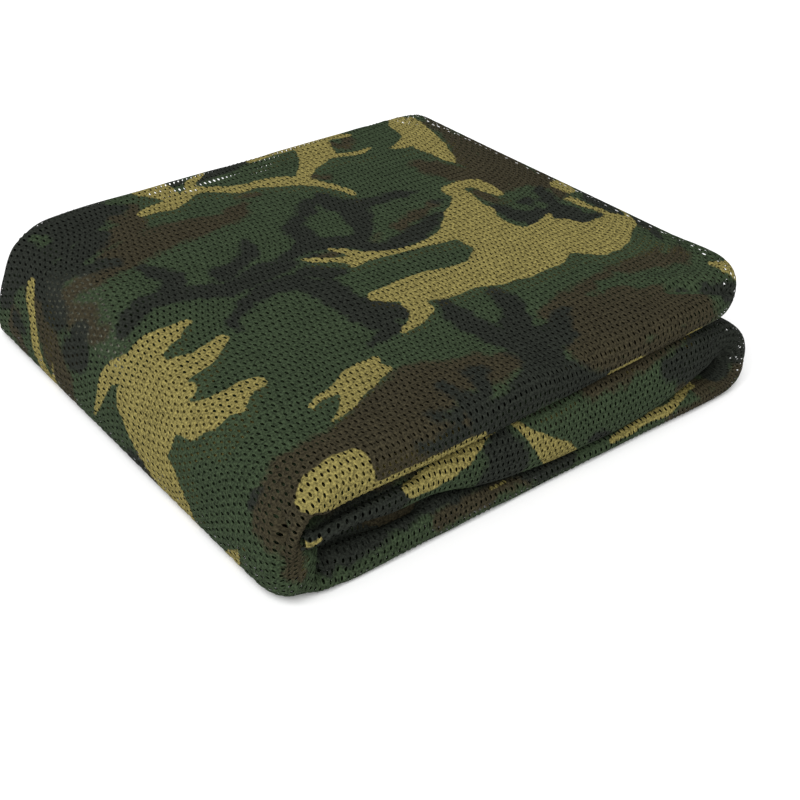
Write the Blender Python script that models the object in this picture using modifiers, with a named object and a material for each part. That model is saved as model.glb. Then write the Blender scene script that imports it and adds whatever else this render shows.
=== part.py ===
"""Camouflage mesh net, folded flat into a soft packet and lying on a table.

One length of printed polyester mesh, modelled as one closed solid. The cloth is first
folded lengthwise, back and forth, into a strip of four layers whose outermost layer wraps
the near edge. The strip is then folded over twice: it runs left along the top, turns down
the spine, runs right along the bottom, turns up in an open loop and runs back left between
the two, where it ends in a small tucked knuckle.

Axes: +X runs along the near face to the right, +Y runs away from it, +Z is up.
The packet rests on z = 0 and its bounding box is centred on the origin in X and Y.
"""

import math
from collections import namedtuple

import bmesh
import bpy
import numpy as np

MM = 0.001

# ---- driving dimensions, in millimetres ------------------------------------------------
SHEET = 1.2  # thickness that stands for one layer of the mesh
BACK_ROLL = 4.5  # how far the turn at the far edge bulges
FULLNESS = 0.75  # 1 would make the near roll an ellipse; less makes it squarer
INNER_TURN = 0.55  # share of the near roll's depth at which the inner turn stops
FREE_EDGE_LOW = 4.0  # how far the lowest layer stops short of the far edge
FREE_EDGE_MID = 9.0  # the same for the free edge between the layers
END_PULL = 11.0  # how far the inner layers stop short of the strip's two ends
END_REACH = 60.0  # length over which they catch up with the outer layers
LONGEST_SPAN = 34.0  # a longer step between two ribs gets one more rib inside it
INNER_ROLL = 0.4  # bulge of the inner turn, as a share of how deep the near roll curves
HOLLOW_FROM, HOLLOW_TO = 50.0, 63.0  # heights between which the top's hollows fade in

# ---- how many faces each stretch of a section is built from -----------------------------
LOW_FACES, ROLL_FACES, HIGH_FACES, TURN_FACES, MID_FACES = 8, 8, 9, 4, 7

# ---- layers of the strip, as heights through its thickness ------------------------------
LOW, MID_LOW, MID_HIGH, HIGH = 0.0, 1 / 3, 2 / 3, 1.0

# ---- ribs: one row for each cross-section of the strip, in the order in which it runs ----
# outer = the point on the side that faces out of the packet, inner = the point opposite;
# near, far = where the strip's two edges lie in Y; tip = the height through the strip, from
# 0 inner to 1 outer, at which the near roll bulges most; roll_in and roll_out = how deep
# the roll curves on its two sides of the tip. They give the middle of the cloth, so where
# it lies on the table it is half a sheet up, at 0.6.
Rib = namedtuple("Rib", "outer_x outer_z inner_x inner_z near far roll_in roll_out tip")

TOP_END = [  # the closed nose at the right-hand end of the top pass
    Rib(154.4, 57.6, 154.4, 55.6, -100.0, 136.0, 5.0, 5.0, 0.5),
    Rib(153.4, 60.2, 153.4, 53.0, -110.0, 139.5, 7.0, 8.0, 0.5),
    Rib(150.2, 62.2, 150.2, 50.8, -122.0, 142.0, 8.0, 11.0, 0.45),
    Rib(143.5, 63.4, 143.5, 49.8, -134.5, 143.5, 8.0, 13.0, 0.4),
]
TOP_PASS = [
    Rib(130.0, 63.7, 130.0, 49.4, -145.0, 144.5, 8.0, 14.0, 0.35),
    Rib(110.0, 63.7, 110.0, 49.8, -150.6, 144.5, 8.0, 14.0, 0.35),
    Rib(50.0, 63.6, 50.0, 47.6, -151.4, 144.5, 8.0, 14.0, 0.35),
    Rib(0.0, 63.5, 0.0, 45.2, -151.6, 144.5, 8.0, 14.0, 0.35),
    Rib(-50.0, 63.5, -50.0, 43.2, -151.6, 144.5, 8.0, 15.0, 0.35),
    Rib(-92.0, 63.4, -90.0, 42.6, -151.6, 144.5, 8.5, 16.0, 0.35),
]
SPINE = [  # the big turn on the left: rounded above, nearly upright, tight below
    Rib(-113.0, 62.4, -111.0, 42.4, -151.6, 144.0, 9.0, 17.0, 0.38),
    Rib(-126.8, 59.6, -123.0, 41.8, -151.8, 142.5, 10.0, 18.0, 0.42),
    Rib(-136.6, 54.0, -130.5, 40.6, -152.0, 141.0, 11.0, 19.0, 0.45),
    Rib(-142.6, 45.4, -135.0, 38.4, -152.0, 140.5, 12.0, 20.0, 0.45),
    Rib(-147.0, 35.5, -137.4, 34.6, -152.0, 140.5, 12.0, 21.0, 0.45),
    Rib(-150.6, 24.5, -137.0, 31.0, -152.0, 141.0, 12.0, 22.0, 0.45),
    Rib(-153.0, 13.0, -135.0, 28.6, -152.0, 142.5, 11.0, 23.0, 0.5),
    Rib(-152.4, 5.0, -133.0, 27.8, -151.8, 144.5, 10.0, 23.0, 0.56),
    Rib(-147.0, 0.6, -131.4, 27.4, -151.6, 146.5, 9.0, 19.0, 0.62),
    Rib(-138.0, 0.6, -130.2, 27.2, -152.2, 147.5, 8.0, 13.0, 0.7),
]
BOTTOM_PASS = [
    Rib(-130.5, 0.6, -128.0, 27.2, -152.4, 147.5, 15.0, 8.0, 0.8),
    Rib(-112.0, 0.6, -112.0, 26.2, -152.2, 147.5, 16.0, 6.0, 0.84),
    Rib(-92.0, 0.6, -92.0, 22.6, -152.0, 147.5, 14.0, 6.0, 0.82),
    Rib(-74.0, 0.6, -74.0, 22.0, -151.8, 147.5, 13.0, 6.0, 0.8),
    Rib(-46.0, 0.6, -46.0, 15.0, -151.6, 147.5, 10.0, 6.0, 0.72),
    Rib(-8.0, 0.6, -8.0, 9.0, -151.4, 147.5, 7.0, 6.0, 0.6),
    Rib(44.0, 0.6, 44.0, 8.6, -151.4, 147.5, 7.0, 6.0, 0.58),
    Rib(84.0, 0.6, 84.0, 11.0, -152.0, 147.5, 8.0, 7.0, 0.6),
    Rib(108.0, 0.6, 108.0, 11.4, -152.4, 147.5, 9.0, 8.0, 0.6),
]
LOOP = [  # the open turn on the right, with a pocket inside it
    Rib(129.0, 0.6, 118.0, 12.0, -152.2, 147.5, 10.0, 9.0, 0.5),
    Rib(141.5, 3.0, 122.6, 14.0, -151.4, 147.0, 10.0, 11.0, 0.5),
    Rib(147.6, 10.0, 124.6, 17.0, -150.6, 146.5, 10.0, 13.0, 0.5),
    Rib(149.0, 19.0, 124.8, 20.2, -150.2, 146.5, 10.0, 14.0, 0.45),
    Rib(146.6, 28.0, 123.4, 23.0, -150.4, 146.5, 10.0, 15.0, 0.45),
    Rib(140.0, 35.6, 120.4, 24.4, -150.8, 147.0, 10.0, 15.0, 0.45),
    Rib(129.5, 41.2, 114.4, 24.2, -151.6, 147.5, 10.0, 15.0, 0.42),
]
MIDDLE_PASS = [
    Rib(114.0, 45.4, 104.0, 21.4, -152.6, 147.5, 9.0, 15.0, 0.4),
    Rib(90.0, 47.2, 87.0, 15.8, -153.4, 147.5, 9.0, 15.0, 0.4),
    Rib(62.0, 46.2, 62.0, 11.6, -153.8, 147.5, 9.0, 14.0, 0.4),
    Rib(36.0, 45.0, 36.0, 10.4, -153.6, 147.5, 9.0, 14.0, 0.4),
    Rib(4.0, 43.4, 4.0, 10.8, -153.0, 147.5, 9.0, 14.0, 0.4),
    Rib(-24.0, 42.2, -24.0, 13.2, -152.4, 147.5, 9.0, 13.0, 0.4),
    Rib(-46.0, 41.4, -46.0, 17.6, -152.0, 147.5, 9.0, 13.0, 0.4),
    Rib(-62.0, 41.0, -62.0, 22.8, -151.8, 147.5, 8.0, 12.0, 0.4),
    Rib(-76.0, 40.6, -76.0, 25.0, -151.6, 147.5, 8.0, 12.0, 0.4),
    Rib(-92.0, 39.8, -92.0, 25.0, -151.4, 147.5, 8.0, 11.0, 0.4),
    Rib(-112.0, 38.4, -112.0, 28.6, -151.2, 147.5, 7.0, 10.0, 0.4),
]
KNUCKLE = [  # the closed end of the strip, tucked in behind the near corner
    Rib(-122.0, 37.6, -122.0, 29.2, -151.4, 147.0, 7.0, 9.0, 0.42),
    Rib(-129.0, 36.6, -129.0, 29.6, -151.6, 146.0, 6.0, 8.0, 0.45),
    Rib(-133.0, 35.2, -133.0, 30.4, -150.8, 144.0, 5.0, 6.0, 0.5),
    Rib(-134.4, 33.6, -134.4, 31.4, -148.6, 140.0, 4.0, 4.0, 0.5),
]
RIBS = TOP_END + TOP_PASS + SPINE + BOTTOM_PASS + LOOP + MIDDLE_PASS + KNUCKLE

# ---- shallow hollows in the top: where, how wide and how deep, in millimetres -----------
Hollow = namedtuple("Hollow", "x y reach_x reach_y depth")
HOLLOWS = [
    Hollow(-60.0, -40.0, 60.0, 70.0, 1.4),
    Hollow(70.0, 60.0, 70.0, 50.0, 1.2),
    Hollow(40.0, -95.0, 80.0, 30.0, 0.9),
    Hollow(-20.0, 110.0, 90.0, 28.0, 0.8),
]


def smooth_columns(rows, at):
    """Each column of the rows, read at a fractional row number, without overshoot."""
    rows = np.array(rows, float)
    steps = np.diff(rows, axis=0)
    slopes = np.zeros_like(rows)
    before, after = steps[:-1], steps[1:]
    same_way = before * after > 0
    total = np.where(same_way, before + after, 1.0)
    slopes[1:-1] = np.where(same_way, 2 * before * after / total, 0.0)
    slopes[0], slopes[-1] = steps[0], steps[-1]
    low = np.clip(np.floor(at).astype(int), 0, len(rows) - 2)
    t = (at - low)[:, None]
    return (
        rows[low] * (1 + 2 * t) * (1 - t) ** 2
        + slopes[low] * t * (1 - t) ** 2
        + rows[low + 1] * t * t * (3 - 2 * t)
        - slopes[low + 1] * t * t * (1 - t)
    )


def rib_places():
    """Fractional row numbers of the ribs that are built, with one more in each long span."""
    places = [0.0]
    for row, (this, following) in enumerate(zip(RIBS, RIBS[1:])):
        span = math.dist(this[:2], following[:2])
        if span > LONGEST_SPAN:
            places.append(row + 0.5)
        places.append(row + 1.0)
    return np.array(places)


def length_along(ribs):
    """Distance of each rib from the strip's first end, along its middle."""
    middle = (ribs[:, 0:2] + ribs[:, 2:4]) / 2
    return np.concatenate([[0], np.cumsum(np.linalg.norm(np.diff(middle, axis=0), axis=1))])


def section_points(near, far, roll_in, roll_out, tip):
    """The back-and-forth section at one rib: (y, height, how far inside) for each point.

    The lowest layer comes in from the far edge, the near roll lifts it over the others to
    become the highest layer, and the far turn and the inner turn bring it down again.
    """
    points = []

    def run(start, end, height, inside, count):
        for step in range(1, count):
            points.append((start + (end - start) * step / count, height, inside))

    def turn(centre, bulge, start_height, end_height, inside, count):
        for step in range(count + 1):
            angle = math.pi * step / count
            middle, half = (start_height + end_height) / 2, (start_height - end_height) / 2
            share = inside[0] + (inside[1] - inside[0]) * step / count
            points.append((centre + bulge * math.sin(angle), middle + half * math.cos(angle), share))

    def near_roll(count):
        for step in range(count + 1):
            angle = math.pi * (step / count - 0.5)
            depth, rise = (roll_in, -tip) if angle < 0 else (roll_out, 1 - tip)
            back = 1 - math.cos(angle) ** FULLNESS
            points.append((near + depth * back, tip + rise * abs(math.sin(angle)) ** FULLNESS, 0.0))

    inner_roll = min(roll_in, roll_out) * INNER_ROLL
    inner_start = near + max(roll_in, roll_out) * INNER_TURN + inner_roll
    far_turn = far - BACK_ROLL
    points.append((far - FREE_EDGE_LOW, LOW, 0.0))
    run(far - FREE_EDGE_LOW, near + roll_in, LOW, 0.0, LOW_FACES)
    near_roll(ROLL_FACES)
    run(near + roll_out, far_turn, HIGH, 0.0, HIGH_FACES)
    turn(far_turn, BACK_ROLL, HIGH, MID_HIGH, (0.0, 1.0), TURN_FACES)
    run(far_turn, inner_start, MID_HIGH, 1.0, MID_FACES)
    turn(inner_start, -inner_roll, MID_HIGH, MID_LOW, (1.0, 1.0), TURN_FACES)
    run(inner_start, far - FREE_EDGE_MID, MID_LOW, 1.0, MID_FACES)
    points.append((far - FREE_EDGE_MID, MID_LOW, 1.0))
    return points


def end_pull(along, length):
    """How far along the strip an inner layer is shifted, away from the nearer end."""
    from_start = np.clip(1 - along / END_REACH, 0, 1) ** 2
    from_end = np.clip(1 - (length - along) / END_REACH, 0, 1) ** 2
    return END_PULL * (from_start - from_end)


def hollow_depth(x, y, z):
    """How far the top sinks at a point: nothing at the strip's lower passes."""
    sink = np.zeros_like(x)
    for hollow in HOLLOWS:
        across = ((x - hollow.x) / hollow.reach_x) ** 2 + ((y - hollow.y) / hollow.reach_y) ** 2
        sink += hollow.depth * np.exp(-across)
    return sink * np.clip((z - HOLLOW_FROM) / (HOLLOW_TO - HOLLOW_FROM), 0, 1)


def net_grid():
    """The middle surface of the cloth: an array of points, rib by rib, in millimetres."""
    places = rib_places()
    ribs = smooth_columns(RIBS, places)
    along = length_along(ribs)
    grid = []
    for index, (_, _, inside) in enumerate(section_points(*RIBS[0][4:])):
        shifted = along + inside * end_pull(along, along[-1])
        own_ribs = smooth_columns(RIBS, np.interp(shifted, along, places))
        line = []
        for outer_x, outer_z, inner_x, inner_z, *edges in own_ribs:
            y, height, _ = section_points(*edges)[index]
            line.append(
                (
                    inner_x + (outer_x - inner_x) * height,
                    y,
                    inner_z + (outer_z - inner_z) * height,
                )
            )
        grid.append(line)
    grid = np.array(grid)
    grid[..., 2] -= hollow_depth(grid[..., 0], grid[..., 1], grid[..., 2])
    flat = grid.reshape(-1, 3)
    centre = (flat.min(axis=0) + flat.max(axis=0)) / 2
    return grid - [centre[0], centre[1], 0.0]


def woven_material():
    """Printed polyester mesh: dull, and dark green over all."""
    material = bpy.data.materials.new("printed_polyester_mesh")
    material.use_nodes = True
    shader = material.node_tree.nodes["Principled BSDF"]
    shader.inputs["Base Color"].default_value = (0.045, 0.062, 0.032, 1.0)
    shader.inputs["Roughness"].default_value = 0.85
    shader.inputs["Metallic"].default_value = 0.0
    return material


def folded_net(collection):
    """The cloth as one loft between its sections, thickened to the sheet."""
    grid = net_grid() * MM
    shape = bmesh.new()
    lines = [[shape.verts.new(point) for point in line] for line in grid]
    for line, following in zip(lines, lines[1:]):
        for rib in range(len(line) - 1):
            shape.faces.new((line[rib], following[rib], following[rib + 1], line[rib + 1]))
    bmesh.ops.recalc_face_normals(shape, faces=shape.faces[:])
    mesh = bpy.data.meshes.new("camouflage_net")
    shape.to_mesh(mesh)
    shape.free()
    mesh.shade_smooth()
    mesh.materials.append(woven_material())
    net = bpy.data.objects.new("camouflage_net", mesh)
    collection.objects.link(net)
    thickness = net.modifiers.new("cloth thickness", "SOLIDIFY")
    thickness.thickness = SHEET * MM
    thickness.offset = 0.0
    thickness.use_rim = True
    return net


def main():
    for item in list(bpy.data.objects):
        bpy.data.objects.remove(item, do_unlink=True)
    collection = bpy.data.collections.new("folded_camouflage_net")
    bpy.context.scene.collection.children.link(collection)
    folded_net(collection)


main()
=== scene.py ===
"""A folded length of camouflage mesh netting: the finish and the fine shape of the cloth.

The cloth lies in the folds of its solid. It is a knitted net, so where it faces out it is a
real net with a hole in each cell, made flat by Geometry Nodes and then laid into the folds.
The layers inside are plain sheets. Sizes are in millimetres until a mesh is written.

Two lengths place everything on the cloth:
    along   the distance along the folded strip, from its right-hand end on top, left over
            the top, down the spine, right along the bottom, up the loop and back left
    across  the distance across the cloth from the tip of the near roll: positive over the
            layer that faces out of the packet, negative over the layer that faces in
"""

import math
from collections import namedtuple

import bpy
import numpy as np
from mathutils import Euler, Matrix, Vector


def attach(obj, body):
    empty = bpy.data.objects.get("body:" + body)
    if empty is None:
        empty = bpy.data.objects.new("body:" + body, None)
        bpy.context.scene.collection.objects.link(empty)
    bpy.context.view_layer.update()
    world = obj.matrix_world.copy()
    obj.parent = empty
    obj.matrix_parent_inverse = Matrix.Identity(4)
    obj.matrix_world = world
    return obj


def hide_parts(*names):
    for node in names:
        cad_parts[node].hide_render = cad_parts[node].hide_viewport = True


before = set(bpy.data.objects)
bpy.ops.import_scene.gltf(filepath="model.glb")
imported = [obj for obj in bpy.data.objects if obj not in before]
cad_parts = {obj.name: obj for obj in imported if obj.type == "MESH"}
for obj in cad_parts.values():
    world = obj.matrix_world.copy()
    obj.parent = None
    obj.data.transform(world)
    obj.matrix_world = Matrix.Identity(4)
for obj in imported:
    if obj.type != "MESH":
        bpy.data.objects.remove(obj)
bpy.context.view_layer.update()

MM = 0.001
NODE = "camouflage_net"

# ---- the fold: the solid's ribs, with the layers inside set a little differently ----
SKIN = 0.5  # the outer layer is drawn this far outside the middle of the solid's sheet
BACK_ROLL = 4.5  # how far the turn at the far edge bulges
FULLNESS = 0.75  # 1 would make the near roll an ellipse; less makes it squarer
INNER_TURN = 0.8  # share of the near roll's depth at which the inner turn stops
INNER_ROLL = 0.4  # bulge of the inner turn, as a share of how deep the near roll curves
FREE_EDGE_LOW = 4.0  # how far the lowest layer stops short of the far edge
FREE_EDGE_MID = 9.0  # the same for the free edge between the layers
START_PULL = 1.2  # how far the inner layers stop short of the strip's end on top
END_PULL = 3.5  # the same for its other end, the knuckle
END_REACH = 60.0  # length over which they catch up with the outer layer
HOLLOW_FROM, HOLLOW_TO = 50.0, 63.0  # heights between which the top's hollows fade in
LOW, MID_LOW, MID_HIGH, HIGH = 0.0, 1 / 3, 2 / 3, 1.0  # heights of the four layers
HUG = 0.82  # away from the edges the two in the middle lie as close as this to the outer ones
HUG_FROM = 0.12  # share of their width over which they get there

# a rib is one cross-section of the strip: outer = the point on the side that faces out of the
# packet, inner = the point opposite; near, far = where the strip's two edges lie in y; tip = the
# height through the strip at which the near roll bulges most; roll_in, roll_out = how deep the
# roll curves on the two sides of its tip
Rib = namedtuple("Rib", "outer_x outer_z inner_x inner_z near far roll_in roll_out tip")
TOP_END = [
    Rib(154.4, 57.6, 154.4, 55.6, -100.0, 136.0, 5.0, 5.0, 0.5),
    Rib(153.4, 60.2, 153.4, 53.0, -110.0, 139.5, 7.0, 8.0, 0.5),
    Rib(150.2, 62.2, 150.2, 50.8, -122.0, 142.0, 8.0, 11.0, 0.45),
    Rib(143.5, 63.4, 143.5, 49.8, -134.5, 143.5, 8.0, 13.0, 0.4),
]
TOP_PASS = [
    Rib(130.0, 63.7, 130.0, 49.4, -145.0, 144.5, 8.0, 14.0, 0.35),
    Rib(110.0, 63.7, 110.0, 49.8, -150.6, 144.5, 8.0, 14.0, 0.35),
    Rib(50.0, 63.6, 50.0, 47.6, -151.4, 144.5, 8.0, 14.0, 0.35),
    Rib(0.0, 63.5, 0.0, 45.2, -151.6, 144.5, 8.0, 14.0, 0.35),
    Rib(-50.0, 63.5, -50.0, 43.2, -151.6, 144.5, 8.0, 15.0, 0.35),
    Rib(-92.0, 63.4, -90.0, 42.6, -151.6, 144.5, 8.5, 16.0, 0.35),
]
SPINE = [
    Rib(-113.0, 62.4, -111.0, 42.4, -151.6, 144.0, 9.0, 17.0, 0.38),
    Rib(-126.8, 59.6, -123.0, 41.8, -151.8, 142.5, 10.0, 18.0, 0.42),
    Rib(-136.6, 54.0, -130.5, 40.6, -152.0, 141.0, 11.0, 19.0, 0.45),
    Rib(-142.6, 45.4, -135.0, 38.4, -152.0, 140.5, 12.0, 20.0, 0.45),
    Rib(-147.0, 35.5, -137.4, 34.6, -152.0, 140.5, 12.0, 21.0, 0.45),
    Rib(-150.6, 24.5, -137.0, 31.0, -152.0, 141.0, 12.0, 22.0, 0.45),
    Rib(-153.0, 13.0, -135.0, 28.6, -152.0, 142.5, 11.0, 23.0, 0.5),
    Rib(-152.4, 5.0, -133.0, 27.8, -151.8, 144.5, 10.0, 23.0, 0.56),
    Rib(-147.0, 0.6, -131.4, 27.4, -151.6, 146.5, 9.0, 19.0, 0.62),
    Rib(-138.0, 0.6, -130.2, 27.2, -152.2, 147.5, 8.0, 13.0, 0.7),
]
BOTTOM_PASS = [
    Rib(-130.5, 0.6, -128.0, 27.2, -152.4, 147.5, 15.0, 8.0, 0.8),
    Rib(-112.0, 0.6, -112.0, 26.2, -152.2, 147.5, 16.0, 6.0, 0.84),
    Rib(-92.0, 0.6, -92.0, 22.6, -152.0, 147.5, 14.0, 6.0, 0.82),
    Rib(-74.0, 0.6, -74.0, 22.0, -151.8, 147.5, 13.0, 6.0, 0.8),
    Rib(-46.0, 0.6, -46.0, 15.0, -151.6, 147.5, 10.0, 6.0, 0.72),
    Rib(-8.0, 0.6, -8.0, 9.0, -151.4, 147.5, 7.0, 6.0, 0.6),
    Rib(44.0, 0.6, 44.0, 8.6, -151.4, 147.5, 7.0, 6.0, 0.58),
    Rib(84.0, 0.6, 84.0, 11.0, -152.0, 147.5, 8.0, 7.0, 0.6),
    Rib(108.0, 0.6, 108.0, 11.4, -152.4, 147.5, 9.0, 8.0, 0.6),
]
LOOP = [
    Rib(129.0, 0.6, 118.0, 12.0, -152.2, 147.5, 10.0, 9.0, 0.5),
    Rib(141.5, 3.0, 122.6, 14.0, -151.4, 147.0, 10.0, 11.0, 0.5),
    Rib(147.6, 10.0, 124.6, 17.0, -150.6, 146.5, 10.0, 13.0, 0.5),
    Rib(149.0, 19.0, 124.8, 20.2, -150.2, 146.5, 10.0, 14.0, 0.45),
    Rib(146.6, 28.0, 123.4, 23.0, -150.4, 146.5, 10.0, 15.0, 0.45),
    Rib(140.0, 35.6, 120.4, 24.4, -150.8, 147.0, 10.0, 15.0, 0.45),
    Rib(129.5, 41.2, 114.4, 24.2, -151.6, 147.5, 10.0, 15.0, 0.42),
]
MIDDLE_PASS = [
    Rib(114.0, 45.4, 104.0, 21.4, -152.6, 147.5, 9.0, 15.0, 0.4),
    Rib(90.0, 47.2, 87.0, 15.8, -153.4, 147.5, 9.0, 15.0, 0.4),
    Rib(62.0, 46.2, 62.0, 11.6, -153.8, 147.5, 9.0, 14.0, 0.4),
    Rib(36.0, 45.0, 36.0, 10.4, -153.6, 147.5, 9.0, 14.0, 0.4),
    Rib(4.0, 43.4, 4.0, 10.8, -153.0, 147.5, 9.0, 14.0, 0.4),
    Rib(-24.0, 42.2, -24.0, 13.2, -152.4, 147.5, 9.0, 13.0, 0.4),
    Rib(-46.0, 41.4, -46.0, 17.6, -152.0, 147.5, 9.0, 13.0, 0.4),
    Rib(-62.0, 41.0, -62.0, 22.8, -151.8, 147.5, 8.0, 12.0, 0.4),
    Rib(-76.0, 40.6, -76.0, 25.0, -151.6, 147.5, 8.0, 12.0, 0.4),
    Rib(-92.0, 39.8, -92.0, 25.0, -151.4, 147.5, 8.0, 11.0, 0.4),
    Rib(-112.0, 38.4, -112.0, 28.6, -151.2, 147.5, 7.0, 10.0, 0.4),
]
KNUCKLE = [
    Rib(-122.0, 37.6, -122.0, 29.2, -151.4, 147.0, 7.0, 9.0, 0.42),
    Rib(-129.0, 36.6, -129.0, 29.6, -151.6, 146.0, 6.0, 8.0, 0.45),
    Rib(-133.0, 35.2, -133.0, 30.4, -150.8, 144.0, 5.0, 6.0, 0.5),
    Rib(-134.4, 33.6, -134.4, 31.4, -148.6, 140.0, 4.0, 4.0, 0.5),
]
RIBS = TOP_END + TOP_PASS + SPINE + BOTTOM_PASS + LOOP + MIDDLE_PASS + KNUCKLE

Hollow = namedtuple("Hollow", "x y reach_x reach_y depth")
HOLLOWS = [  # shallow hollows in the top
    Hollow(-60.0, -40.0, 60.0, 70.0, 1.4),
    Hollow(70.0, 60.0, 70.0, 50.0, 1.2),
    Hollow(40.0, -95.0, 80.0, 30.0, 0.9),
    Hollow(-20.0, 110.0, 90.0, 28.0, 0.8),
]
CENTRE_X, CENTRE_Y = 0.7, -3.15  # the middle of the ribs' box, which lies on the origin

# ---- the table of the fold: how finely it is worked out ----
SECTION = [  # stretches of a section in order: points on each, how far inside it starts and ends
    ("low", 40, 0.0, 0.0),
    ("near roll", 96, 0.0, 0.0),
    ("high", 40, 0.0, 0.0),
    ("far turn", 32, 0.0, 1.0),
    ("mid high", 24, 1.0, 1.0),
    ("inner turn", 32, 1.0, 1.0),
    ("mid low", 24, 1.0, 1.0),
]
TABLE_STEP = 1.0  # spacing of the table along and across the cloth
ROW_SAMPLES = 4000  # places along the ribs from which even steps are measured
LEAST_ACROSS, MOST_ACROSS = -300.0, 960.0  # the table's reach across the cloth
LAST_CELL = 0.001  # keeps a place on the table's last line inside its last cell
SLOPE_REACH = 1.0  # the cloth's slope is read this far to each side of a point
LEAST_LENGTH = 1e-6  # keeps a normal of no length from being divided by nothing


def smooth_columns(rows, at):
    """Each column of the rows, read at a fractional row number, without overshoot."""
    rows = np.array(rows, float)
    steps = np.diff(rows, axis=0)
    slopes = np.zeros_like(rows)
    before, after = steps[:-1], steps[1:]
    same_way = before * after > 0
    total = np.where(same_way, before + after, 1.0)
    slopes[1:-1] = np.where(same_way, 2 * before * after / total, 0.0)
    slopes[0], slopes[-1] = steps[0], steps[-1]
    low = np.clip(np.floor(at).astype(int), 0, len(rows) - 2)
    t = (at - low)[:, None]
    return (
        rows[low] * (1 + 2 * t) * (1 - t) ** 2
        + slopes[low] * t * (1 - t) ** 2
        + rows[low + 1] * t * t * (3 - 2 * t)
        - slopes[low + 1] * t * t * (1 - t)
    )


def section_marks():
    """The points of a section in order: (stretch, share of the stretch, how far inside)."""
    marks = [
        (stretch, i / points, inside + (inside_end - inside) * i / points)
        for stretch, points, inside, inside_end in SECTION
        for i in range(points)
    ]
    return marks + [("mid low", 1.0, 1.0)]


def section_point(stretch, t, ribs):
    """Where one mark of the section lies at every rib: y, and the height from 0 to 1."""
    near, far, roll_in, roll_out, tip = ribs[:, 4:].T
    inner_roll = np.minimum(roll_in, roll_out) * INNER_ROLL
    inner_start = near + np.maximum(roll_in, roll_out) * INNER_TURN + inner_roll
    far_turn = far - BACK_ROLL
    if stretch == "low":
        start = far - FREE_EDGE_LOW
        return start + (near + roll_in - start) * t, np.full_like(near, LOW)
    if stretch == "near roll":
        angle = math.pi * (t - 0.5)
        depth, rise = (roll_in, -tip) if angle < 0 else (roll_out, 1 - tip)
        back = 1 - math.cos(angle) ** FULLNESS
        return near + depth * back, tip + rise * abs(math.sin(angle)) ** FULLNESS
    if stretch == "high":
        start = near + roll_out
        return start + (far_turn - start) * t, np.full_like(near, HIGH)
    if stretch == "far turn":
        height = (HIGH + MID_HIGH) / 2 + (HIGH - MID_HIGH) / 2 * math.cos(math.pi * t)
        return far_turn + BACK_ROLL * math.sin(math.pi * t), np.full_like(near, height)
    if stretch == "mid high":
        height = MID_HIGH + (HUG - MID_HIGH) * min(t / HUG_FROM, 1.0)
        return far_turn + (inner_start - far_turn) * t, np.full_like(near, height)
    if stretch == "inner turn":
        height = 0.5 + (HUG - 0.5) * math.cos(math.pi * t)
        return inner_start - inner_roll * math.sin(math.pi * t), np.full_like(near, height)
    end = far - FREE_EDGE_MID
    height = MID_LOW - (HUG - MID_HIGH) * min((1 - t) / HUG_FROM, 1.0)
    return inner_start + (end - inner_start) * t, np.full_like(near, height)


def run_length(points):
    """How far a line of points has run at each of them."""
    return np.concatenate([[0], np.cumsum(np.hypot(*np.diff(points, axis=0).T))])


def hollow_depth(x, y, z):
    """How far the top sinks at a point: nothing at the strip's lower passes."""
    sink = np.zeros_like(x)
    for hollow in HOLLOWS:
        across = ((x - hollow.x) / hollow.reach_x) ** 2 + ((y - hollow.y) / hollow.reach_y) ** 2
        sink += hollow.depth * np.exp(-across)
    return sink * np.clip((z - HOLLOW_FROM) / (HOLLOW_TO - HOLLOW_FROM), 0, 1)


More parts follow.
